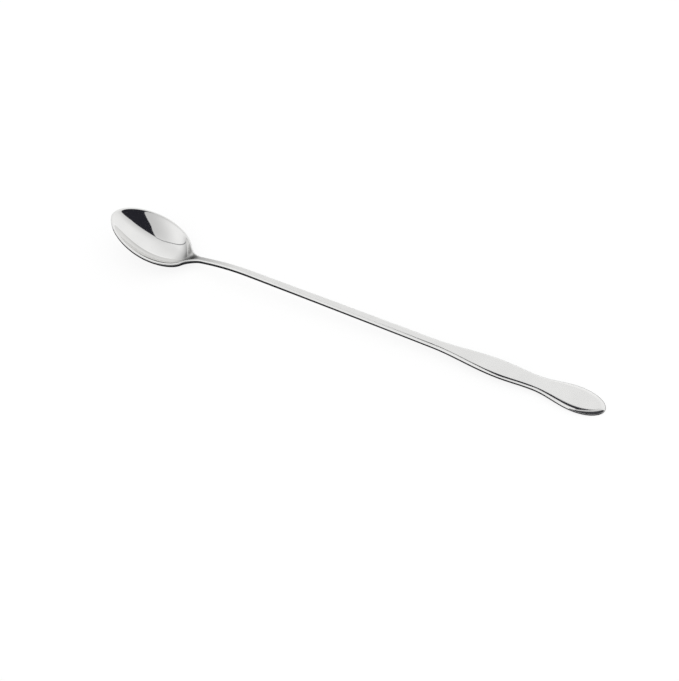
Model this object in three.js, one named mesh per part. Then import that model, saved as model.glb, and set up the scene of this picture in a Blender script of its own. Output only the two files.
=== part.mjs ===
// Long-handled stirring spoon, stamped from one blank of stainless sheet.
// Millimetres, +X from the bowl's tip to the handle's end, +Z up.
// It lies as on a table: the bowl's belly and the handle's end touch z = 0.
import * as THREE from 'three';

// Overall length and the bowl's outline in plan.
const LENGTH = 195;
const BOWL_LENGTH = 31.5;
const BOWL_WIDTH = 20.8;
const BOWL_WIDEST = 16.6;
// Exponent of each half of the outline: 2 is an ellipse, less is more pointed.
const TIP_FULLNESS = 1.86;
const HEEL_FULLNESS = 2.04;
// Radius of the two arcs that lead the bowl's heel into the shank.
const NECK_FILLET = 7.7;

// The bowl's section: depth from rim to inside bottom, metal at the bottom, and the rim's lip.
const BOWL_DEPTH = 5.4;
const BOWL_SHEET = 1.0;
const SECTION_FULLNESS = 0.3;
const RIM_LIP = 0.6;
const RIM_EDGE = 1.2;
const RIM_RADIUS = 0.45;
// Share of the depth over which the wall eases into the lip.
const RIM_SOFT_RATIO = 0.04;
// The rim's edge grows to the handle's thickness from this far before the heel to this far past it.
const EDGE_GROWS_BEFORE = 10;
const EDGE_GROWS_PAST = 4;
// How far the hollow reaches past the heel, and the softness of its end as a share of its square law.
const RUNOUT_PAST = 1.6;
const RUNOUT_RATIO = 0.34;

// Widths along the handle, with stations counted back from its end.
const SHANK_NECK_WIDTH = 1.95;
const SHANK_FLARE_WIDTH = 3.6;
const FLARE_FROM_END = 66.4;
const SWELL_WIDTH = 7.6;
const SWELL_FROM_END = 39.9;
const WAIST_WIDTH = 6.3;
const WAIST_FROM_END = 26.4;
const LOBE_WIDTH = 10.8;
const LOBE_FROM_END = 10.6;

// The handle's section: thickness, the top edge's shoulder and the small round under it.
const THICKNESS = 1.8;
const SHOULDER_NECK = 0.44;
const SHOULDER_PADDLE = 0.85;
const SHOULDER_LOBE = 1.8;
const UNDER_RADIUS = 0.3;
const FACE_MARGIN = 0.15;
// Drop of the shoulder for its width along the shank, and its drop on the end lobe.
const SHOULDER_SLOPE = 1;
const LOBE_DROP = 1.1;
// Exponent of the shoulder's curve: 1 is a quarter round, more is nearer to a bevel.
const SHOULDER_FULLNESS = 1.4;

// The side profile, given by its slopes: they change evenly between these stations.
const TIP_SLOPE = -0.335;
const HEEL_SLOPE = -0.274;
const HEEL_BEND = 3.2;
const NECK_SLOPE = 0.267;
const NECK_BEND = 3;
const NECK_RUN = 24.9;
const END_SLOPE = 0.048;
const END_STRAIGHT = 23;

const BOWL_COLUMNS = 24;
const HANDLE_COLUMNS = 2;
const ROUND_STEPS = 3;

const flareAt = LENGTH - FLARE_FROM_END;
const swellAt = LENGTH - SWELL_FROM_END;
const waistAt = LENGTH - WAIST_FROM_END;
const lobeAt = LENGTH - LOBE_FROM_END;
const heelLength = BOWL_LENGTH - BOWL_WIDEST;

const clamp = (v, low, high) => Math.min(Math.max(v, low), high);

function smooth(t) {
  const c = clamp(t, 0, 1);
  return c * c * (3 - 2 * c);
}

function wave(a, b, t) {
  return a + (b - a) * (0.5 - 0.5 * Math.cos(Math.PI * clamp(t, 0, 1)));
}

function shankHalf(s) {
  const t = clamp((s - BOWL_LENGTH) / (flareAt - BOWL_LENGTH), 0, 1);
  return 0.5 * (SHANK_NECK_WIDTH + (SHANK_FLARE_WIDTH - SHANK_NECK_WIDTH) * t);
}

// One half of the bowl's outline, b running from 0 at the widest place to 1 at its end.
function eggHalf(b, fullness) {
  return 0.5 * BOWL_WIDTH * Math.pow(Math.max(1 - Math.pow(b, fullness), 0), 1 / fullness);
}

// The neck's arc touches the heel curve and the shank's edge: its centre lies on both offsets.
function findNeckArc() {
  const p = HEEL_FULLNESS;
  const centreAt = (b) => {
    const w = eggHalf(b, p);
    const rest = Math.pow(1 - Math.pow(b, p), 1 / p - 1);
    const slope = -0.5 * BOWL_WIDTH * Math.pow(b, p - 1) * rest / heelLength;
    const k = Math.hypot(1, slope);
    const s = BOWL_WIDEST + heelLength * b;
    return { start: s, centre: s - NECK_FILLET * slope / k, level: w + NECK_FILLET / k };
  };
  let low = 0;
  let high = 1 - 1e-9;
  for (let i = 0; i < 60; i += 1) {
    const mid = 0.5 * (low + high);
    const arc = centreAt(mid);
    if (arc.level > shankHalf(arc.centre) + NECK_FILLET) low = mid;
    else high = mid;
  }
  return centreAt(low);
}
const neckArc = findNeckArc();

// Half of the spoon's width in plan, s millimetres from the tip.
function halfWidth(s) {
  if (s <= BOWL_WIDEST) return eggHalf((BOWL_WIDEST - s) / BOWL_WIDEST, TIP_FULLNESS);
  if (s <= neckArc.start) return eggHalf((s - BOWL_WIDEST) / heelLength, HEEL_FULLNESS);
  if (s <= neckArc.centre) return neckArc.level - Math.sqrt(NECK_FILLET ** 2 - (s - neckArc.centre) ** 2);
  if (s <= flareAt) return shankHalf(s);
  if (s <= swellAt) {
    return 0.5 * wave(SHANK_FLARE_WIDTH, SWELL_WIDTH, (s - flareAt) / (swellAt - flareAt));
  }
  if (s <= waistAt) {
    return 0.5 * wave(SWELL_WIDTH, WAIST_WIDTH, (s - swellAt) / (waistAt - swellAt));
  }
  if (s <= lobeAt) {
    return 0.5 * wave(WAIST_WIDTH, LOBE_WIDTH, (s - waistAt) / (lobeAt - waistAt));
  }
  const q = clamp((s - lobeAt) / LOBE_FROM_END, 0, 1);
  return 0.5 * LOBE_WIDTH * Math.sqrt(1 - q * q);
}

// Share of the bowl's depth at a place along (xi) and across (eta) the bowl.
function hollow(s, eta, inset) {
  const front = BOWL_WIDEST - inset;
  const back = heelLength + RUNOUT_PAST;
  const xi = (s - BOWL_WIDEST) / (s < BOWL_WIDEST ? front : back);
  const d = Math.max(RUNOUT_RATIO * smooth((s - BOWL_WIDEST) / back), 1e-6);
  const c = 1 - xi * xi;
  let along = c;
  if (c <= -d) along = 0;
  else if (c < d) along = (c + d) ** 2 / (4 * d);
  let v = along * (1 - eta * eta);
  if (inset > 0) v = v * v * (1 + RIM_SOFT_RATIO) / (v + RIM_SOFT_RATIO);
  return v * (1 + SECTION_FULLNESS * (1 - v));
}

// Height of the outer edge: the rim's own in the bowl, the full thickness from the neck on.
function edgeHeight(s) {
  const grown = (s - BOWL_LENGTH + EDGE_GROWS_BEFORE) / (EDGE_GROWS_BEFORE + EDGE_GROWS_PAST);
  return RIM_EDGE + (THICKNESS - RIM_EDGE) * smooth(grown);
}

function belowRim(s, eta) {
  const e = edgeHeight(s);
  return e + (BOWL_DEPTH + BOWL_SHEET - e) * hollow(s, eta, 0);
}

// The side profile's stations and slopes. The slope at the end of the neck's run is left to
// close the chain: the belly and the handle's end both touch the table.
const bendStations = [
  0,
  BOWL_LENGTH - HEEL_BEND,
  BOWL_LENGTH + NECK_BEND,
  BOWL_LENGTH + NECK_RUN,
  LENGTH - END_STRAIGHT,
  LENGTH,
];
const bendSlopes = [TIP_SLOPE, HEEL_SLOPE, NECK_SLOPE, 0, -END_SLOPE, -END_SLOPE];

function climb(s) {
  let z = 0;
  for (let i = 0; i + 1 < bendStations.length; i += 1) {
    const span = bendStations[i + 1] - bendStations[i];
    const d = clamp(s - bendStations[i], 0, span);
    z += bendSlopes[i] * d + (bendSlopes[i + 1] - bendSlopes[i]) / span * d * d / 2;
  }
  return z;
}

function findTipHeight() {
  let lowest = 0;
  for (let s = 1; s < BOWL_LENGTH; s += 0.05) lowest = Math.min(lowest, climb(s) - belowRim(s, 0));
  return -lowest;
}
const tipHeight = findTipHeight();
const overEnd = tipHeight + climb(LENGTH) - THICKNESS;
bendSlopes[3] = -2 * overEnd / (bendStations[4] - bendStations[2]);

// Height of the rim, and from the neck on of the handle's top face.
const profile = (s) => tipHeight + climb(s);

// 0 in the bowl, 1 on the handle, with the change along the neck's arcs.
const onHandle = (s) => smooth((s - neckArc.start) / (neckArc.centre - neckArc.start));

// 0 up to the paddle's waist, 1 on the end lobe.
const onLobe = (s) => smooth((s - waistAt) / (lobeAt - waistAt));

function shankShoulder(s) {
  const along = clamp((s - neckArc.centre) / (flareAt - neckArc.centre), 0, 1);
  return SHOULDER_NECK + (SHOULDER_PADDLE - SHOULDER_NECK) * along;
}

function shoulderWidth(s) {
  const handle = shankShoulder(s) + (SHOULDER_LOBE - SHOULDER_PADDLE) * onLobe(s);
  return RIM_RADIUS + (handle - RIM_RADIUS) * onHandle(s);
}

function shoulderDrop(s) {
  const shank = SHOULDER_SLOPE * shankShoulder(s);
  const handle = shank + (LOBE_DROP - shank) * onLobe(s);
  return RIM_RADIUS + (handle - RIM_RADIUS) * onHandle(s);
}

// Distance from the outline to the first column of the top face: the lip's inner edge in the bowl.
function faceInset(s) {
  return RIM_LIP + (shoulderWidth(s) + FACE_MARGIN - RIM_LIP) * onHandle(s);
}

// One rib: a closed ring of points round the section that starts at the outline's station s.
// Each point carries u: 0 to 1 across the top, to 2 down the +Y edge, to 3 back underneath,
// to 4 up the -Y edge.
function rib(s, columns) {
  const atTip = s <= 0;
  const atEnd = s >= LENGTH;
  const w = atTip || atEnd ? 0 : halfWidth(s);
  const step = 1e-4;
  const slope = atTip || atEnd ? 0 : (halfWidth(s + step) - halfWidth(s - step)) / (2 * step);
  const k = Math.hypot(1, slope);
  let inX = slope / k;
  let inY = -1 / k;
  if (atTip || atEnd) {
    inX = atTip ? 1 : -1;
    inY = 0;
  }
  const ring = [];
  const add = (x, y, z, u) => ring.push({ x: x - LENGTH / 2, y, z, u });
  const inset = faceInset(s);
  const width = shoulderWidth(s);
  const drop = shoulderDrop(s);
  const fullness = 1 + (SHOULDER_FULLNESS - 1) * onHandle(s);
  const topX = s + inset * inX;
  const topY = w + inset * inY;
  const underX = s + UNDER_RADIUS * inX;
  const underY = w + UNDER_RADIUS * inY;

  const edge = [];
  for (let i = 0; i <= ROUND_STEPS; i += 1) {
    const turn = Math.PI / 2 * i / ROUND_STEPS;
    const d = width * (1 - Math.sin(turn) ** fullness);
    const x = s + d * inX;
    edge.push([x, w + d * inY, profile(x) - drop * (1 - Math.cos(turn) ** fullness)]);
  }
  for (let i = 0; i < ROUND_STEPS; i += 1) {
    const turn = Math.PI / 2 * i / ROUND_STEPS;
    const d = UNDER_RADIUS * (1 - Math.cos(turn));
    const x = s + d * inX;
    edge.push([x, w + d * inY, profile(x) - edgeHeight(x) + UNDER_RADIUS * (1 - Math.sin(turn))]);
  }

  for (let j = 0; j <= columns; j += 1) {
    const eta = -1 + 2 * j / columns;
    add(topX, eta * topY, profile(topX) - BOWL_DEPTH * hollow(topX, eta, RIM_LIP), j / columns);
  }
  edge.forEach(([x, y, z], i) => add(x, y, z, 1 + (i + 1) / (edge.length + 1)));
  for (let j = 0; j <= columns; j += 1) {
    const eta = 1 - 2 * j / columns;
    add(underX, eta * underY, profile(underX) - belowRim(underX, eta), 2 + j / columns);
  }
  [...edge].reverse().forEach(([x, y, z], i) => add(x, -y, z, 3 + (i + 1) / (edge.length + 1)));
  return ring;
}

// Outline stations: bunched where the outline turns, evenly spaced along its straight runs.
function ribStations() {
  const list = [];
  const run = (from, to, steps, law, columns) => {
    for (let i = 0; i < steps; i += 1) list.push([from + (to - from) * law(i / steps), columns]);
  };
  const even = (t) => t;
  const bunchedFirst = (t) => 1 - Math.cos(Math.PI / 2 * t);
  const bunchedLast = (t) => Math.sin(Math.PI / 2 * t);
  run(0, BOWL_WIDEST, 26, bunchedFirst, BOWL_COLUMNS);
  run(BOWL_WIDEST, neckArc.start, 16, bunchedLast, BOWL_COLUMNS);
  run(neckArc.start, neckArc.centre, 14, even, BOWL_COLUMNS);
  run(neckArc.centre, BOWL_LENGTH + NECK_RUN, 10, even, HANDLE_COLUMNS);
  run(BOWL_LENGTH + NECK_RUN, flareAt, 10, even, HANDLE_COLUMNS);
  run(flareAt, swellAt, 14, even, HANDLE_COLUMNS);
  run(swellAt, waistAt, 10, even, HANDLE_COLUMNS);
  run(waistAt, lobeAt, 14, even, HANDLE_COLUMNS);
  run(lobeAt, LENGTH, 18, bunchedLast, HANDLE_COLUMNS);
  list.push([LENGTH, HANDLE_COLUMNS]);
  return list;
}

// Skin between the ribs: each pair is zipped together in order of u, mirrored left to right.
function buildSpoon() {
  const points = [];
  const known = new Map();
  const place = ({ x, y, z }) => {
    const key = [x, y, z].map((v) => (Math.round(v * 1e5) + 0).toString()).join();
    if (!known.has(key)) {
      known.set(key, points.length / 3);
      points.push(x, y, z);
    }
    return known.get(key);
  };
  const rings = ribStations().map(([s, columns]) => rib(s, columns).map((p) => ({ id: place(p), u: p.u })));
  const faces = [];
  const triangle = (a, b, c) => {
    if (a !== b && b !== c && c !== a) faces.push(a, b, c);
  };
  for (let r = 0; r + 1 < rings.length; r += 1) {
    const a = rings[r];
    const b = rings[r + 1];
    let i = 0;
    let j = 0;
    while (i < a.length || j < b.length) {
      const nextA = i + 1 < a.length ? a[i + 1].u : 4 + (i + 1 - a.length);
      const nextB = j + 1 < b.length ? b[j + 1].u : 4 + (j + 1 - b.length);
      const tie = Math.abs(nextA - nextB) < 1e-9;
      const mirrored = nextA <= 0.5 || nextA > 2.5;
      const here = a[i % a.length].id;
      const there = b[j % b.length].id;
      if (i < a.length && (j >= b.length || nextA < nextB - 1e-9 || (tie && !mirrored))) {
        triangle(here, there, a[(i + 1) % a.length].id);
        i += 1;
      } else {
        triangle(here, there, b[(j + 1) % b.length].id);
        j += 1;
      }
    }
  }
  const geometry = new THREE.BufferGeometry();
  geometry.setAttribute('position', new THREE.Float32BufferAttribute(points, 3));
  geometry.setIndex(faces);
  geometry.computeVertexNormals();
  return geometry;
}

const steel = new THREE.MeshStandardMaterial({
  name: 'steel',
  color: 0xc8cacc,
  metalness: 1,
  roughness: 0.22,
});

const spoon = new THREE.Mesh(buildSpoon(), steel);
spoon.name = 'spoon';

const part = new THREE.Group();
part.name = 'stirring_spoon';
part.add(spoon);

export default part;
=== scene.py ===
import math

import bpy
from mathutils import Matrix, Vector


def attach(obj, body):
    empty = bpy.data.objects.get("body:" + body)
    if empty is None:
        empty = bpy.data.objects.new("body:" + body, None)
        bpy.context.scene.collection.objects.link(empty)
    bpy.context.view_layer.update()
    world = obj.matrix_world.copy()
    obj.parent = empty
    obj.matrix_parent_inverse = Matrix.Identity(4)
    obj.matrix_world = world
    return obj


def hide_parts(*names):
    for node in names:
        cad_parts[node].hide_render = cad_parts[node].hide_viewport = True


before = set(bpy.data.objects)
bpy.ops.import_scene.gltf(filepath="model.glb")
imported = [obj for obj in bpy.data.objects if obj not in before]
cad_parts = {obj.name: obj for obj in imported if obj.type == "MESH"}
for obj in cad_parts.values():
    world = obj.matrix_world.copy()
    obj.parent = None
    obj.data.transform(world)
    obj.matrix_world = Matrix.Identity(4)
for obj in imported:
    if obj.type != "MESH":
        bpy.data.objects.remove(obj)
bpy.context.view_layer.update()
scene = bpy.context.scene
scene.view_settings.view_transform = "Standard"

# The spoon's sizes in millimetres and its ratios, as in the part's source, apart from RIM_RADIUS and
# UNDER_RADIUS, which are sharper here.
LENGTH = 195.0
BOWL_LENGTH = 31.5
BOWL_WIDTH = 20.8
BOWL_WIDEST = 16.6
TIP_FULLNESS = 1.86
HEEL_FULLNESS = 2.04
NECK_FILLET = 7.7
BOWL_DEPTH = 5.4
BOWL_SHEET = 1.0
SECTION_FULLNESS = 0.3
RIM_LIP = 0.6
RIM_SOFT = 0.04
RIM_EDGE = 1.2
RIM_RADIUS = 0.18
EDGE_GROWS_BEFORE = 10.0
EDGE_GROWS_PAST = 4.0
RUNOUT_RATIO = 0.34
RUNOUT_PAST = 1.6
SHANK_NECK_WIDTH = 1.95
SHANK_FLARE_WIDTH = 3.6
FLARE_FROM_END = 66.4
SWELL_WIDTH = 7.6
SWELL_FROM_END = 39.9
WAIST_WIDTH = 6.3
WAIST_FROM_END = 26.4
LOBE_WIDTH = 10.8
LOBE_FROM_END = 10.6
THICKNESS = 1.8
SHOULDER_NECK = 0.44
SHOULDER_PADDLE = 0.85
SHOULDER_LOBE = 1.8
SHOULDER_SLOPE = 1.0
SHOULDER_BEVEL = 1.4
LOBE_DROP = 1.1
UNDER_RADIUS = 0.15
FACE_MARGIN = 0.15
TIP_SLOPE = -0.335
HEEL_SLOPE = -0.274
HEEL_BEND = 3.2
NECK_SLOPE = 0.267
NECK_BEND = 3.0
NECK_RUN = 24.9
END_SLOPE = 0.048
END_STRAIGHT = 23.0

MM_PER_METRE = 1000.0

# How finely the visual mesh follows the formulas, and the small steps that they take.
BOWL_COLUMNS = 96
HANDLE_COLUMNS = 16
ROUND_STEPS = 8
HALVINGS = 60
TABLE_SCAN = 0.05
SCAN_FROM = 20
SLOPE_STEP = 1e-4
TINY = 1e-6
SAME = 1e-9
WELDS_PER_MM = 1e5
RING_END = 4.0

# Where the satin of the handle's faces starts at the neck, over what length it grows, and how soon it
# fades on the shoulder.
SATIN_BEFORE = 4.0
SATIN_RUN = 12.0
SATIN_FADE = 2.2

# The corner where the hollow ends in the neck, made rougher and darkened with a painted dark reflection,
# and a weaker band of the same across the heel beside it.
CORNER_AT = BOWL_LENGTH + 0.9
CORNER_LENGTH = 2.2
CORNER_WIDTH = 1.3
HEEL_SHARE = 0.5
HEEL_AT = BOWL_LENGTH - 1.2
HEEL_BAND = 1.3

FLARE_AT = LENGTH - FLARE_FROM_END
SWELL_AT = LENGTH - SWELL_FROM_END
WAIST_AT = LENGTH - WAIST_FROM_END
LOBE_AT = LENGTH - LOBE_FROM_END
HEEL_LENGTH = BOWL_LENGTH - BOWL_WIDEST


def clamp(value, low, high):
    return min(max(value, low), high)


def smooth(t):
    c = clamp(t, 0.0, 1.0)
    return c * c * (3.0 - 2.0 * c)


def wave(a, b, t):
    return a + (b - a) * (0.5 - 0.5 * math.cos(math.pi * clamp(t, 0.0, 1.0)))


def shank_half(s):
    t = clamp((s - BOWL_LENGTH) / (FLARE_AT - BOWL_LENGTH), 0.0, 1.0)
    return 0.5 * (SHANK_NECK_WIDTH + (SHANK_FLARE_WIDTH - SHANK_NECK_WIDTH) * t)


def egg_half(b, fullness):
    return 0.5 * BOWL_WIDTH * max(1.0 - b**fullness, 0.0) ** (1.0 / fullness)


def neck_arc_at(b):
    """Centre of an arc that touches the heel curve at b: (start station, centre station, centre level)."""
    p = HEEL_FULLNESS
    rest = (1.0 - b**p) ** (1.0 / p - 1.0)
    slope = -0.5 * BOWL_WIDTH * b ** (p - 1.0) * rest / HEEL_LENGTH
    k = math.hypot(1.0, slope)
    s = BOWL_WIDEST + HEEL_LENGTH * b
    return s, s - NECK_FILLET * slope / k, egg_half(b, p) + NECK_FILLET / k


def find_neck_arc():
    """The arc that touches the heel curve and the shank's side, found by halving."""
    low = TINY
    high = 1.0 - SAME
    for _ in range(HALVINGS):
        mid = 0.5 * (low + high)
        _, centre, level = neck_arc_at(mid)
        if level > shank_half(centre) + NECK_FILLET:
            low = mid
        else:
            high = mid
    return neck_arc_at(low)


ARC_START, ARC_CENTRE, ARC_LEVEL = find_neck_arc()


def half_width(s):
    if s <= BOWL_WIDEST:
        return egg_half((BOWL_WIDEST - s) / BOWL_WIDEST, TIP_FULLNESS)
    if s <= ARC_START:
        return egg_half((s - BOWL_WIDEST) / HEEL_LENGTH, HEEL_FULLNESS)
    if s <= ARC_CENTRE:
        return ARC_LEVEL - math.sqrt(NECK_FILLET**2 - (s - ARC_CENTRE) ** 2)
    if s <= FLARE_AT:
        return shank_half(s)
    if s <= SWELL_AT:
        return 0.5 * wave(SHANK_FLARE_WIDTH, SWELL_WIDTH, (s - FLARE_AT) / (SWELL_AT - FLARE_AT))
    if s <= WAIST_AT:
        return 0.5 * wave(SWELL_WIDTH, WAIST_WIDTH, (s - SWELL_AT) / (WAIST_AT - SWELL_AT))
    if s <= LOBE_AT:
        return 0.5 * wave(WAIST_WIDTH, LOBE_WIDTH, (s - WAIST_AT) / (LOBE_AT - WAIST_AT))
    q = clamp((s - LOBE_AT) / LOBE_FROM_END, 0.0, 1.0)
    return 0.5 * LOBE_WIDTH * math.sqrt(1.0 - q * q)


def hollow(s, eta, inset):
    """Share of the bowl's depth at station s, eta from -1 to 1 across."""
    front = BOWL_WIDEST - inset
    heel = HEEL_LENGTH + RUNOUT_PAST
    xi = (s - BOWL_WIDEST) / (front if s < BOWL_WIDEST else heel)
    d = max(RUNOUT_RATIO * smooth((s - BOWL_WIDEST) / heel), TINY)
    c = 1.0 - xi * xi
    along = c
    if c <= -d:
        along = 0.0
    elif c < d:
        along = (c + d) ** 2 / (4.0 * d)
    v = along * (1.0 - eta * eta)
    if inset > 0.0:
        v = v * v * (1.0 + RIM_SOFT) / (v + RIM_SOFT)
    return v * (1.0 + SECTION_FULLNESS * (1.0 - v))


def edge_height(s):
    grown = (s - BOWL_LENGTH + EDGE_GROWS_BEFORE) / (EDGE_GROWS_BEFORE + EDGE_GROWS_PAST)
    return RIM_EDGE + (THICKNESS - RIM_EDGE) * smooth(grown)


def below_rim(s, eta):
    """How far the underside lies below the rim line."""
    e = edge_height(s)
    return e + (BOWL_DEPTH + BOWL_SHEET - e) * hollow(s, eta, 0.0)


BEND_STATIONS = [
    0.0,
    BOWL_LENGTH - HEEL_BEND,
    BOWL_LENGTH + NECK_BEND,
    BOWL_LENGTH + NECK_RUN,
    LENGTH - END_STRAIGHT,
    LENGTH,
]
BEND_SLOPES = [TIP_SLOPE, HEEL_SLOPE, NECK_SLOPE, 0.0, -END_SLOPE, -END_SLOPE]


def climb(s):
    """Height of the side profile over the bowl's tip: slopes that change evenly between stations."""
    z = 0.0
    for i in range(len(BEND_STATIONS) - 1):
        span = BEND_STATIONS[i + 1] - BEND_STATIONS[i]
        d = clamp(s - BEND_STATIONS[i], 0.0, span)
        z += BEND_SLOPES[i] * d + (BEND_SLOPES[i + 1] - BEND_SLOPES[i]) / span * d * d / 2.0
    return z


# The belly and the handle's end both touch the table.
SCAN = [TABLE_SCAN * i for i in range(SCAN_FROM, int(BOWL_LENGTH / TABLE_SCAN))]
TIP_HEIGHT = -min(climb(s) - below_rim(s, 0.0) for s in SCAN)
OVER_END = TIP_HEIGHT + climb(LENGTH) - THICKNESS
BEND_SLOPES[3] = -2.0 * OVER_END / (BEND_STATIONS[4] - BEND_STATIONS[2])


def profile(s):
    return TIP_HEIGHT + climb(s)


def on_handle(s):
    return smooth((s - ARC_START) / (ARC_CENTRE - ARC_START))


def on_lobe(s):
    return smooth((s - WAIST_AT) / (LOBE_AT - WAIST_AT))


def shank_shoulder(s):
    along = clamp((s - ARC_CENTRE) / (FLARE_AT - ARC_CENTRE), 0.0, 1.0)
    return SHOULDER_NECK + (SHOULDER_PADDLE - SHOULDER_NECK) * along


def shoulder_width(s):
    handle = shank_shoulder(s) + (SHOULDER_LOBE - SHOULDER_PADDLE) * on_lobe(s)
    return RIM_RADIUS + (handle - RIM_RADIUS) * on_handle(s)


def shoulder_drop(s):
    shank = SHOULDER_SLOPE * shank_shoulder(s)
    drop = shank + (LOBE_DROP - shank) * on_lobe(s)
    return RIM_RADIUS + (drop - RIM_RADIUS) * on_handle(s)


def face_inset(s):
    return RIM_LIP + (shoulder_width(s) + FACE_MARGIN - RIM_LIP) * on_handle(s)


def edge_frame(s):
    """The outline at station s: (station, half width, and the way inward across the edge)."""
    if s <= 0.0:
        return 0.0, 0.0, 1.0, 0.0
    if s >= LENGTH:
        return LENGTH, 0.0, -1.0, 0.0
    slope = (half_width(s + SLOPE_STEP) - half_width(s - SLOPE_STEP)) / (2.0 * SLOPE_STEP)
    k = math.hypot(1.0, slope)
    return s, half_width(s), slope / k, -1.0 / k


def rib(s, columns):
    """A closed ring of (x, y, z, u, satin, worn) round the section at the outline's station s.

    u goes from 0 to RING_END: the face, one edge, the back and the other edge.
    """
    s, w, in_x, in_y = edge_frame(s)
    inset = face_inset(s)
    width = shoulder_width(s)
    drop = shoulder_drop(s)
    bevel = 1.0 + (SHOULDER_BEVEL - 1.0) * on_handle(s)
    satin = smooth((s - ARC_CENTRE + SATIN_BEFORE) / SATIN_RUN)
    top_x = s + inset * in_x
    top_y = w + inset * in_y
    under_x = s + UNDER_RADIUS * in_x
    under_y = w + UNDER_RADIUS * in_y
    edge = []
    for i in range(ROUND_STEPS + 1):
        turn = math.pi / 2.0 * i / ROUND_STEPS
        d = width * (1.0 - max(math.sin(turn), 0.0) ** bevel)
        x = s + d * in_x
        z = profile(x) - drop * (1.0 - max(math.cos(turn), 0.0) ** bevel)
        finish = satin * max(1.0 - SATIN_FADE * i / ROUND_STEPS, 0.0)
        edge.append((x, w + d * in_y, z, finish, i / ROUND_STEPS))
    for i in range(ROUND_STEPS):
        turn = math.pi / 2.0 * i / ROUND_STEPS
        d = UNDER_RADIUS * (1.0 - math.cos(turn))
        x = s + d * in_x
        z = profile(x) - edge_height(x) + UNDER_RADIUS * (1.0 - math.sin(turn))
        edge.append((x, w + d * in_y, z, 0.0, 1.0 - i / ROUND_STEPS))
    ring = []
    for j in range(columns + 1):
        eta = -1.0 + 2.0 * j / columns
        z = profile(top_x) - BOWL_DEPTH * hollow(top_x, eta, RIM_LIP)
        ring.append((top_x, eta * top_y, z, j / columns, satin, 0.0))
    for i, (x, y, z, finish, worn) in enumerate(edge):
        ring.append((x, y, z, 1.0 + (i + 1.0) / (len(edge) + 1.0), finish, worn))
    for j in range(columns + 1):
        eta = 1.0 - 2.0 * j / columns
        z = profile(under_x) - below_rim(under_x, eta)
        ring.append((under_x, eta * under_y, z, 2.0 + j / columns, satin, 0.0))
    for i, (x, y, z, finish, worn) in enumerate(reversed(edge)):
        ring.append((x, -y, z, 3.0 + (i + 1.0) / (len(edge) + 1.0), finish, worn))
    return ring


def dull_and_painted_dark(s, y):
    """How dull the face is near the neck's corner, and how dark its painted reflection is there, from 0 to
    1.
    """
    dull_painted_corner = math.exp(-(((s - CORNER_AT) / CORNER_LENGTH) ** 2) - (y / CORNER_WIDTH) ** 2)
    return max(dull_painted_corner, HEEL_SHARE * math.exp(-(((s - HEEL_AT) / HEEL_BAND) ** 2)))


def rib_stations():
    """Outline stations with their column counts, bunched where the outline turns."""
    runs = [
        (0.0, BOWL_WIDEST, 90, "first", BOWL_COLUMNS),
        (BOWL_WIDEST, ARC_START, 56, "last", BOWL_COLUMNS),
        (ARC_START, ARC_CENTRE, 56, "even", BOWL_COLUMNS),
        (ARC_CENTRE, BOWL_LENGTH + NECK_RUN, 40, "even", HANDLE_COLUMNS),
        (BOWL_LENGTH + NECK_RUN, FLARE_AT, 48, "even", HANDLE_COLUMNS),
        (FLARE_AT, SWELL_AT, 48, "even", HANDLE_COLUMNS),
        (SWELL_AT, WAIST_AT, 30, "even", HANDLE_COLUMNS),
        (WAIST_AT, LOBE_AT, 40, "even", HANDLE_COLUMNS),
        (LOBE_AT, LENGTH, 60, "last", HANDLE_COLUMNS),
    ]
    stations = []
    for start, stop, steps, law, columns in runs:
        for i in range(steps):
            t = i / steps
            if law == "first":
                t = 1.0 - math.cos(math.pi / 2.0 * t)
            elif law == "last":
                t = math.sin(math.pi / 2.0 * t)
            stations.append((start + (stop - start) * t, columns))
    stations.append((LENGTH, HANDLE_COLUMNS))
    return stations


def build_spoon():
    """One closed mesh through all ribs, with its finish as point attributes."""
    points = []
    satins = []
    worns = []
    corners = []
    known = {}
    rings = []
    for s, columns in rib_stations():
        ring = []
        for x, y, z, u, satin, worn in rib(s, columns):
            key = tuple(round(value * WELDS_PER_MM) for value in (x, y, z))
            if key not in known:
                known[key] = len(points)
                place = (x - LENGTH / 2.0, y, z)
                points.append([value / MM_PER_METRE for value in place])
                satins.append(satin)
                worns.append(worn)
                # The face's points near the neck's corner and across the heel carry the painted dark
                # reflection.
                corners.append(dull_and_painted_dark(x, y) if u <= 1.0 else 0.0)
            ring.append((known[key], u))
        rings.append(ring)
    faces = []

    def add(*loop):
        kept = [point for i, point in enumerate(loop) if point != loop[i - 1]]
        if len(set(kept)) == len(kept) and len(kept) > 2:
            faces.append(kept)

    # Neighbouring ribs are joined point by point in the order of u, which also joins unlike column counts.
    for a, b in zip(rings, rings[1:]):
        i = 0
        j = 0
        n = len(a)
        m = len(b)
        while i < n or j < m:
            next_a = a[i + 1][1] if i + 1 < n else RING_END + (i + 1 - n)
            next_b = b[j + 1][1] if j + 1 < m else RING_END + (j + 1 - m)
            here = a[i % n][0]
            there = b[j % m][0]
            if i < n and j < m and abs(next_a - next_b) < SAME:
                add(here, there, b[(j + 1) % m][0], a[(i + 1) % n][0])
                i += 1
                j += 1
            elif i < n and (j >= m or next_a < next_b):
                add(here, there, a[(i + 1) % n][0])
                i += 1
            else:
                add(here, there, b[(j + 1) % m][0])
                j += 1
    mesh = bpy.data.meshes.new("spoon_steel")
    mesh.from_pydata(points, [], faces)
    mesh.validate()
    mesh.polygons.foreach_set("use_smooth", [True] * len(mesh.polygons))
    for name, values in (("satin", satins), ("worn", worns), ("dull_painted_corner", corners)):
        layer = mesh.attributes.new(name, "FLOAT", "POINT")
        layer.data.foreach_set("value", values)
    mesh.update()
    piece = bpy.data.objects.new("spoon_steel", mesh)
    scene.collection.objects.link(piece)
    return piece


spoon = build_spoon()


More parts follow.
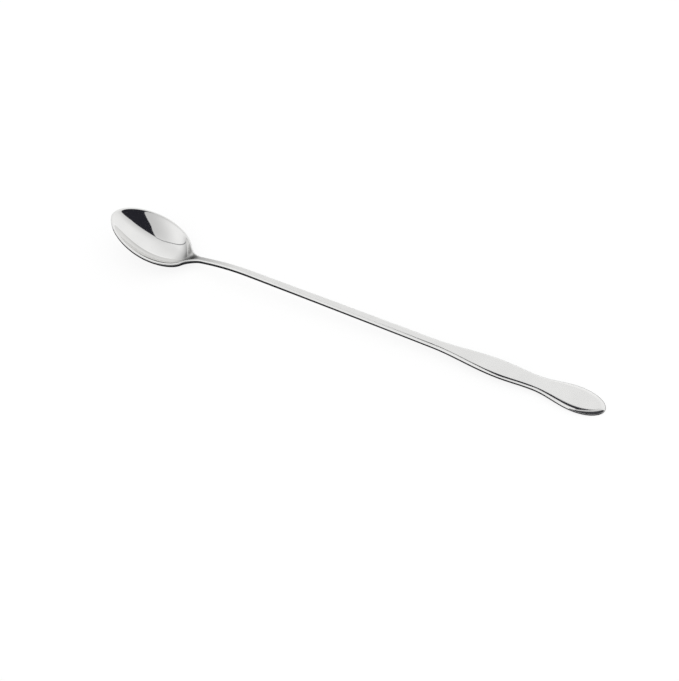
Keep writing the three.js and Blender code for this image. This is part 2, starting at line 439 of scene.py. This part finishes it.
# The steel: roughness of the polish and of the brushed satin with what smears and grain add, what rubbed
# edges and the dull corner add, colours, and the noises' scales and bumps.
POLISH_ROUGHNESS = 0.03
POLISH_SMEAR = 0.05
SATIN_ROUGHNESS = 0.24
SATIN_GRAIN = 0.06
RUBBED_ROUGHNESS = 0.12
CORNER_ROUGHNESS = 0.2
STEEL_DARK = (0.82, 0.818, 0.81, 1.0)
STEEL_LIGHT = (0.855, 0.853, 0.844, 1.0)
STEEL_TINT_RANGE = (0.3, 0.7)
# The painted dark reflection at the neck's corner and across the heel.
PAINTED_REFLECTION_DARK = (0.1, 0.1, 0.105, 1.0)
GRAIN_STRETCH = (90.0, 5200.0, 5200.0)
SMEAR_STRETCH = (160.0, 160.0, 160.0)
HAIRLINE_STRETCH = (700.0, 9000.0, 4000.0)
GRAIN_STRENGTH = 0.02
GRAIN_DEPTH = 0.00002
HAIRLINE_STRENGTH = 0.02
HAIRLINE_DEPTH = 0.00001


def steel_material():
    """Stainless steel: polished in the bowl and on the edges, satin on the handle's faces."""
    material = bpy.data.materials.new("stainless_steel")
    material.use_nodes = True
    nodes = material.node_tree.nodes
    links = material.node_tree.links
    shader = nodes["Principled BSDF"]
    shader.inputs["Metallic"].default_value = 1.0

    def node(kind, **values):
        made = nodes.new(kind)
        for name, value in values.items():
            setattr(made, name, value)
        return made

    def math_node(operation, *values):
        made = node("ShaderNodeMath", operation=operation)
        for socket, value in zip(made.inputs, values):
            if isinstance(value, float):
                socket.default_value = value
            else:
                links.new(value, socket)
        return made.outputs[0]

    place = node("ShaderNodeTexCoord").outputs["Object"]
    satin = node("ShaderNodeAttribute", attribute_name="satin").outputs["Fac"]
    worn = node("ShaderNodeAttribute", attribute_name="worn").outputs["Fac"]
    dull_painted_corner = node("ShaderNodeAttribute", attribute_name="dull_painted_corner").outputs["Fac"]

    def noise(stretch, detail):
        mapping = node("ShaderNodeMapping")
        mapping.inputs["Scale"].default_value = stretch
        links.new(place, mapping.inputs["Vector"])
        made = node("ShaderNodeTexNoise")
        made.inputs["Scale"].default_value = 1.0
        made.inputs["Detail"].default_value = detail
        links.new(mapping.outputs["Vector"], made.inputs["Vector"])
        return made.outputs["Fac"]

    grain = noise(GRAIN_STRETCH, 3.0)
    smear = noise(SMEAR_STRETCH, 3.0)
    hairline = noise(HAIRLINE_STRETCH, 2.0)

    polished = math_node("MULTIPLY_ADD", smear, POLISH_SMEAR, POLISH_ROUGHNESS)
    brushed = math_node("MULTIPLY_ADD", grain, SATIN_GRAIN, SATIN_ROUGHNESS)
    rough = node("ShaderNodeMix", data_type="FLOAT")
    links.new(satin, rough.inputs["Factor"])
    links.new(polished, rough.inputs["A"])
    links.new(brushed, rough.inputs["B"])
    rubbed = math_node("MULTIPLY", math_node("MULTIPLY", worn, smear), RUBBED_ROUGHNESS)
    dull = math_node("ADD", rubbed, math_node("MULTIPLY", dull_painted_corner, CORNER_ROUGHNESS))
    links.new(math_node("ADD", rough.outputs["Result"], dull), shader.inputs["Roughness"])

    tint = node("ShaderNodeValToRGB")
    stops = zip(tint.color_ramp.elements, STEEL_TINT_RANGE, (STEEL_DARK, STEEL_LIGHT))
    for stop, position, colour in stops:
        stop.position = position
        stop.color = colour
    links.new(smear, tint.inputs["Fac"])
    # The base colour darkens towards the painted dark reflection where the corner's mask rises.
    darkened = node("ShaderNodeMixRGB")
    darkened.inputs["Color2"].default_value = PAINTED_REFLECTION_DARK
    links.new(dull_painted_corner, darkened.inputs["Fac"])
    links.new(tint.outputs["Color"], darkened.inputs["Color1"])
    links.new(darkened.outputs["Color"], shader.inputs["Base Color"])

    grain_bump = node("ShaderNodeBump")
    grain_bump.inputs["Distance"].default_value = GRAIN_DEPTH
    links.new(math_node("MULTIPLY", satin, GRAIN_STRENGTH), grain_bump.inputs["Strength"])
    links.new(grain, grain_bump.inputs["Height"])
    line_bump = node("ShaderNodeBump")
    line_bump.inputs["Strength"].default_value = HAIRLINE_STRENGTH
    line_bump.inputs["Distance"].default_value = HAIRLINE_DEPTH
    links.new(hairline, line_bump.inputs["Height"])
    links.new(grain_bump.outputs["Normal"], line_bump.inputs["Normal"])
    links.new(line_bump.outputs["Normal"], shader.inputs["Normal"])
    return material


spoon.data.materials.append(steel_material())
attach(spoon, "root")
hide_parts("spoon")

# The camera, fitted to the outline in the photograph: shifts in pixels of the image's longer side, and
# the scale in pixels for a metre at the spoon's middle.
AZIMUTH = math.radians(24.39)
ELEVATION = math.radians(52.0)
DISTANCE = 0.68
SHIFT_RIGHT = 12.2
SHIFT_UP = 20.0
IMAGE_SIDE = 681.0
PIXELS_PER_METRE = 2750.0
SENSOR_WIDTH = 36.0
CLIP_END = 50.0
lens = bpy.data.cameras.new("camera")
lens.sensor_width = SENSOR_WIDTH
lens.lens = SENSOR_WIDTH * PIXELS_PER_METRE * DISTANCE / IMAGE_SIDE
lens.shift_x = -SHIFT_RIGHT / IMAGE_SIDE
lens.shift_y = -SHIFT_UP / IMAGE_SIDE
lens.clip_end = CLIP_END
camera = bpy.data.objects.new("camera", lens)
camera.location = (
    DISTANCE * math.sin(AZIMUTH) * math.cos(ELEVATION),
    -DISTANCE * math.cos(AZIMUTH) * math.cos(ELEVATION),
    DISTANCE * math.sin(ELEVATION),
)
camera.rotation_euler = (math.pi / 2.0 - ELEVATION, 0.0, AZIMUTH)
scene.collection.objects.link(camera)
scene.camera = camera


def direction(azimuth, elevation):
    """A unit vector, azimuth in degrees from the camera's side and growing to the camera's right."""
    a = AZIMUTH + math.radians(azimuth)
    e = math.radians(elevation)
    return Vector((math.sin(a) * math.cos(e), -math.cos(a) * math.cos(e), math.sin(e)))


def plain(name, colour):
    """A surface of one even brightness, for the stage only."""
    material = bpy.data.materials.new(name)
    material.use_nodes = True
    nodes = material.node_tree.nodes
    nodes.clear()
    glow = nodes.new("ShaderNodeEmission")
    glow.inputs["Color"].default_value = (*colour, 1.0)
    glow.inputs["Strength"].default_value = 1.0
    out = nodes.new("ShaderNodeOutputMaterial")
    material.node_tree.links.new(glow.outputs["Emission"], out.inputs["Surface"])
    return material


def stage_mesh(name, points, faces, material):
    """A piece of the stage, which is no part of the spoon."""
    mesh = bpy.data.meshes.new(name)
    mesh.from_pydata(points, [], faces)
    mesh.update()
    made = bpy.data.objects.new(name, mesh)
    scene.collection.objects.link(made)
    mesh.materials.append(material)
    return made


def only_reflected(obj):
    """Studio cards show in the metal alone."""
    obj.visible_camera = False
    obj.visible_diffuse = False
    obj.visible_shadow = False
    obj.visible_transmission = False


# The dark opening that the bowl mirrors: corners of its plane as (azimuth, elevation, metres) from the
# bowl, and its outline as (azimuth, elevation).
BOWL_MIDDLE = Vector((-0.081, 0.0, 0.006))
FLAG_PLANE = [(11.0, 0.0, 0.33), (66.0, 0.0, 0.3), (66.0, 76.0, 0.22)]
FLAG_OUTLINE = [
    (9.6, 23.0),
    (9.6, 27.0),
    (10.8, 34.0),
    (13.4, 47.0),
    (17.8, 55.3),
    (26.6, 62.7),
    (39.4, 69.9),
    (60.0, 75.4),
    (72.0, 77.0),
    (68.0, 72.0),
    (65.8, 61.0),
    (64.2, 50.0),
    (63.4, 41.7),
    (65.4, 33.0),
    (68.2, 23.0),
]
FLAG_COLOUR = (0.02, 0.02, 0.026)

# A small dark card beside the handle's end, given in the same way as seen from there.
HANDLE_END = Vector((0.091, -0.003, 0.0015))
END_PLANE = [(10.0, 0.0, 0.0095), (-50.0, 0.0, 0.019), (10.0, 60.0, 0.019)]
END_OUTLINE = [
    (-48.0, -1.0),
    (-48.0, 24.0),
    (-35.0, 40.0),
    (-10.0, 54.0),
    (20.0, 58.0),
    (45.0, 54.0),
    (70.0, 40.0),
    (85.0, 22.0),
    (85.0, -1.0),
]
END_COLOUR = (0.05, 0.05, 0.055)


def dark_card(name, eye, plane, outline, colour):
    """A flat card in the given plane, with an outline as it is seen from eye."""
    corners = [eye + distance * direction(a, e) for a, e, distance in plane]
    normal = (corners[1] - corners[0]).cross(corners[2] - corners[0])
    points = []
    for a, e in outline:
        ray = direction(a, e)
        points.append(eye + ray * ((corners[0] - eye).dot(normal) / ray.dot(normal)))
    faces = [list(range(len(points)))]
    only_reflected(stage_mesh(name, points, faces, plain(name, colour)))


# A seam in the white tent, seen as a thin grey line in the bowl: (azimuth, elevation) along it.
SEAM = [
    (72.0, 77.0),
    (60.0, 85.0),
    (-5.5, 87.0),
    (-66.4, 76.7),
    (-76.7, 61.7),
    (-81.5, 40.2),
    (-84.0, 20.0),
    (-86.0, 1.0),
]
SEAM_WIDTH = 2.4
SEAM_DISTANCE = 2.0
SEAM_COLOUR = (0.3, 0.3, 0.31)


def strip(name, line, other, colour):
    """A card between two lines with as many points."""
    n = len(line)
    faces = [[i, i + 1, n + i + 1, n + i] for i in range(n - 1)]
    only_reflected(stage_mesh(name, line + other, faces, plain(name, colour)))


def seam():
    """A strip along the seam, its width in degrees and its distance in metres."""
    middle = [direction(a, e) for a, e in SEAM]
    across = (middle[0].cross(middle[-1])).normalized() * math.radians(SEAM_WIDTH / 2.0)
    line = [BOWL_MIDDLE + SEAM_DISTANCE * (m - across) for m in middle]
    other = [BOWL_MIDDLE + SEAM_DISTANCE * (m + across) for m in middle]
    strip("seam", line, other, SEAM_COLOUR)


# A dark band of painted shadow on the table round the spoon, with a grey painted shade inside it, both
# seen
# only in the metal: a margin in millimetres to both sides of the outline, how far the band goes out for
# each millimetre of height, and the levels of both.
CARD_MARGIN = 1.0
CARD_REACH = 1.3
CARD_STEPS = 160
CARD_LEVEL = 0.3
PAINTED_SHADOW_COLOUR = (0.02, 0.02, 0.023)
SHADE_LEVEL = 0.2
SHADE_COLOUR = (0.28, 0.28, 0.285)


def on_table(side, margin, reach, level):
    """One side of the outline on the table, moved out by a margin and by a reach for its height."""
    line = []
    for i in range(CARD_STEPS + 1):
        s = LENGTH * (0.5 - 0.5 * math.cos(math.pi * i / CARD_STEPS))
        s, w, x, y = edge_frame(s)
        out = margin + reach * (profile(s) - 0.5 * edge_height(s))
        place = (s - out * x - LENGTH / 2.0, side * max(w - out * y, 0.0), level)
        line.append([value / MM_PER_METRE for value in place])
    return line


# Painted shadow on the table, seen only in reflections: dark bands along both sides and grey shade under
# the spoon.
def painted_table_shadows():
    for name, side in (("painted_shadow_left", 1.0), ("painted_shadow_right", -1.0)):
        inner = on_table(side, -CARD_MARGIN, 0.0, CARD_LEVEL)
        outer = on_table(side, CARD_MARGIN, CARD_REACH, CARD_LEVEL)
        strip(name, inner, outer, PAINTED_SHADOW_COLOUR)
    left = on_table(1.0, 0.0, 0.0, SHADE_LEVEL)
    right = on_table(-1.0, 0.0, 0.0, SHADE_LEVEL)
    strip("table_shade", left, right, SHADE_COLOUR)


# A white card beside the paddle, which leaves only a thin line of the dark opening in its shoulder: its
# distance and foot in millimetres, and its top as (along the handle from its middle, height).
FILL_SIDE = -20.0
FILL_FOOT = 4.0
FILL_COLOUR = (0.93, 0.93, 0.93)
FILL_TOP = [(60.0, 4.5), (65.0, 7.0), (68.0, 12.0), (70.0, 24.0), (73.0, 32.0), (88.0, 32.0)]


def fill_card():
    foot = []
    top = []
    for x, height in FILL_TOP:
        foot.append([value / MM_PER_METRE for value in (x, FILL_SIDE, FILL_FOOT)])
        top.append([value / MM_PER_METRE for value in (x, FILL_SIDE, height)])
    strip("fill_card", foot, top, FILL_COLOUR)


fill_card()
dark_card("black_flag", BOWL_MIDDLE, FLAG_PLANE, FLAG_OUTLINE, FLAG_COLOUR)
dark_card("end_card", HANDLE_END, END_PLANE, END_OUTLINE, END_COLOUR)
seam()
painted_table_shadows()

# A pale floor, white enough to leave only a soft shadow.
WHITE = (1.0, 1.0, 1.0, 1.0)
FLOOR_COLOUR = (0.24, 0.24, 0.24, 1.0)
FLOOR_GLOW = 0.82
FLOOR_ROUGHNESS = 0.9
FLOOR_REACH = 8.0
floor_material = bpy.data.materials.new("floor")
floor_material.use_nodes = True
floor_shader = floor_material.node_tree.nodes["Principled BSDF"]
floor_shader.inputs["Base Color"].default_value = FLOOR_COLOUR
floor_shader.inputs["Roughness"].default_value = FLOOR_ROUGHNESS
floor_shader.inputs["Specular IOR Level"].default_value = 0.0
floor_shader.inputs["Emission Color"].default_value = WHITE
floor_shader.inputs["Emission Strength"].default_value = FLOOR_GLOW
floor_corners = [(x * FLOOR_REACH, y * FLOOR_REACH, 0.0) for x, y in ((-1, -1), (1, -1), (1, 1), (-1, 1))]
stage_mesh("floor", floor_corners, [[0, 1, 2, 3]], floor_material)

# White tent light: an even level, and soft lobes (azimuth, elevation, radius, change) in degrees.
WORLD_LEVEL = 0.865
WORLD_LOBES = [
    (-60.0, 30.0, 60.0, 0.12),
    (132.0, 20.0, 60.0, 0.1),
    (20.0, 40.0, 60.0, -0.23),
    (172.0, 4.0, 32.0, 0.08),
    (-124.0, 3.0, 62.0, -0.62),
]


def tent_world():
    """An even white sky with the soft lobes added to it."""
    world = bpy.data.worlds.new("tent")
    world.use_nodes = True
    nodes = world.node_tree.nodes
    links = world.node_tree.links
    view = nodes.new("ShaderNodeTexCoord").outputs["Generated"]
    level = None
    for azimuth, elevation, radius, change in WORLD_LOBES:
        facing = nodes.new("ShaderNodeVectorMath")
        facing.operation = "DOT_PRODUCT"
        facing.inputs[1].default_value = direction(azimuth, elevation)
        links.new(view, facing.inputs[0])
        near = nodes.new("ShaderNodeMapRange")
        near.interpolation_type = "SMOOTHSTEP"
        near.inputs["From Min"].default_value = math.cos(math.radians(radius))
        near.inputs["From Max"].default_value = 1.0
        links.new(facing.outputs["Value"], near.inputs["Value"])
        add = nodes.new("ShaderNodeMath")
        add.operation = "MULTIPLY_ADD"
        add.inputs[1].default_value = change
        add.inputs[2].default_value = WORLD_LEVEL
        links.new(near.outputs["Result"], add.inputs[0])
        if level is not None:
            links.new(level, add.inputs[2])
        level = add.outputs["Value"]
    background = nodes["Background"]
    background.inputs["Color"].default_value = WHITE
    links.new(level, background.inputs["Strength"])
    scene.world = world


tent_world()
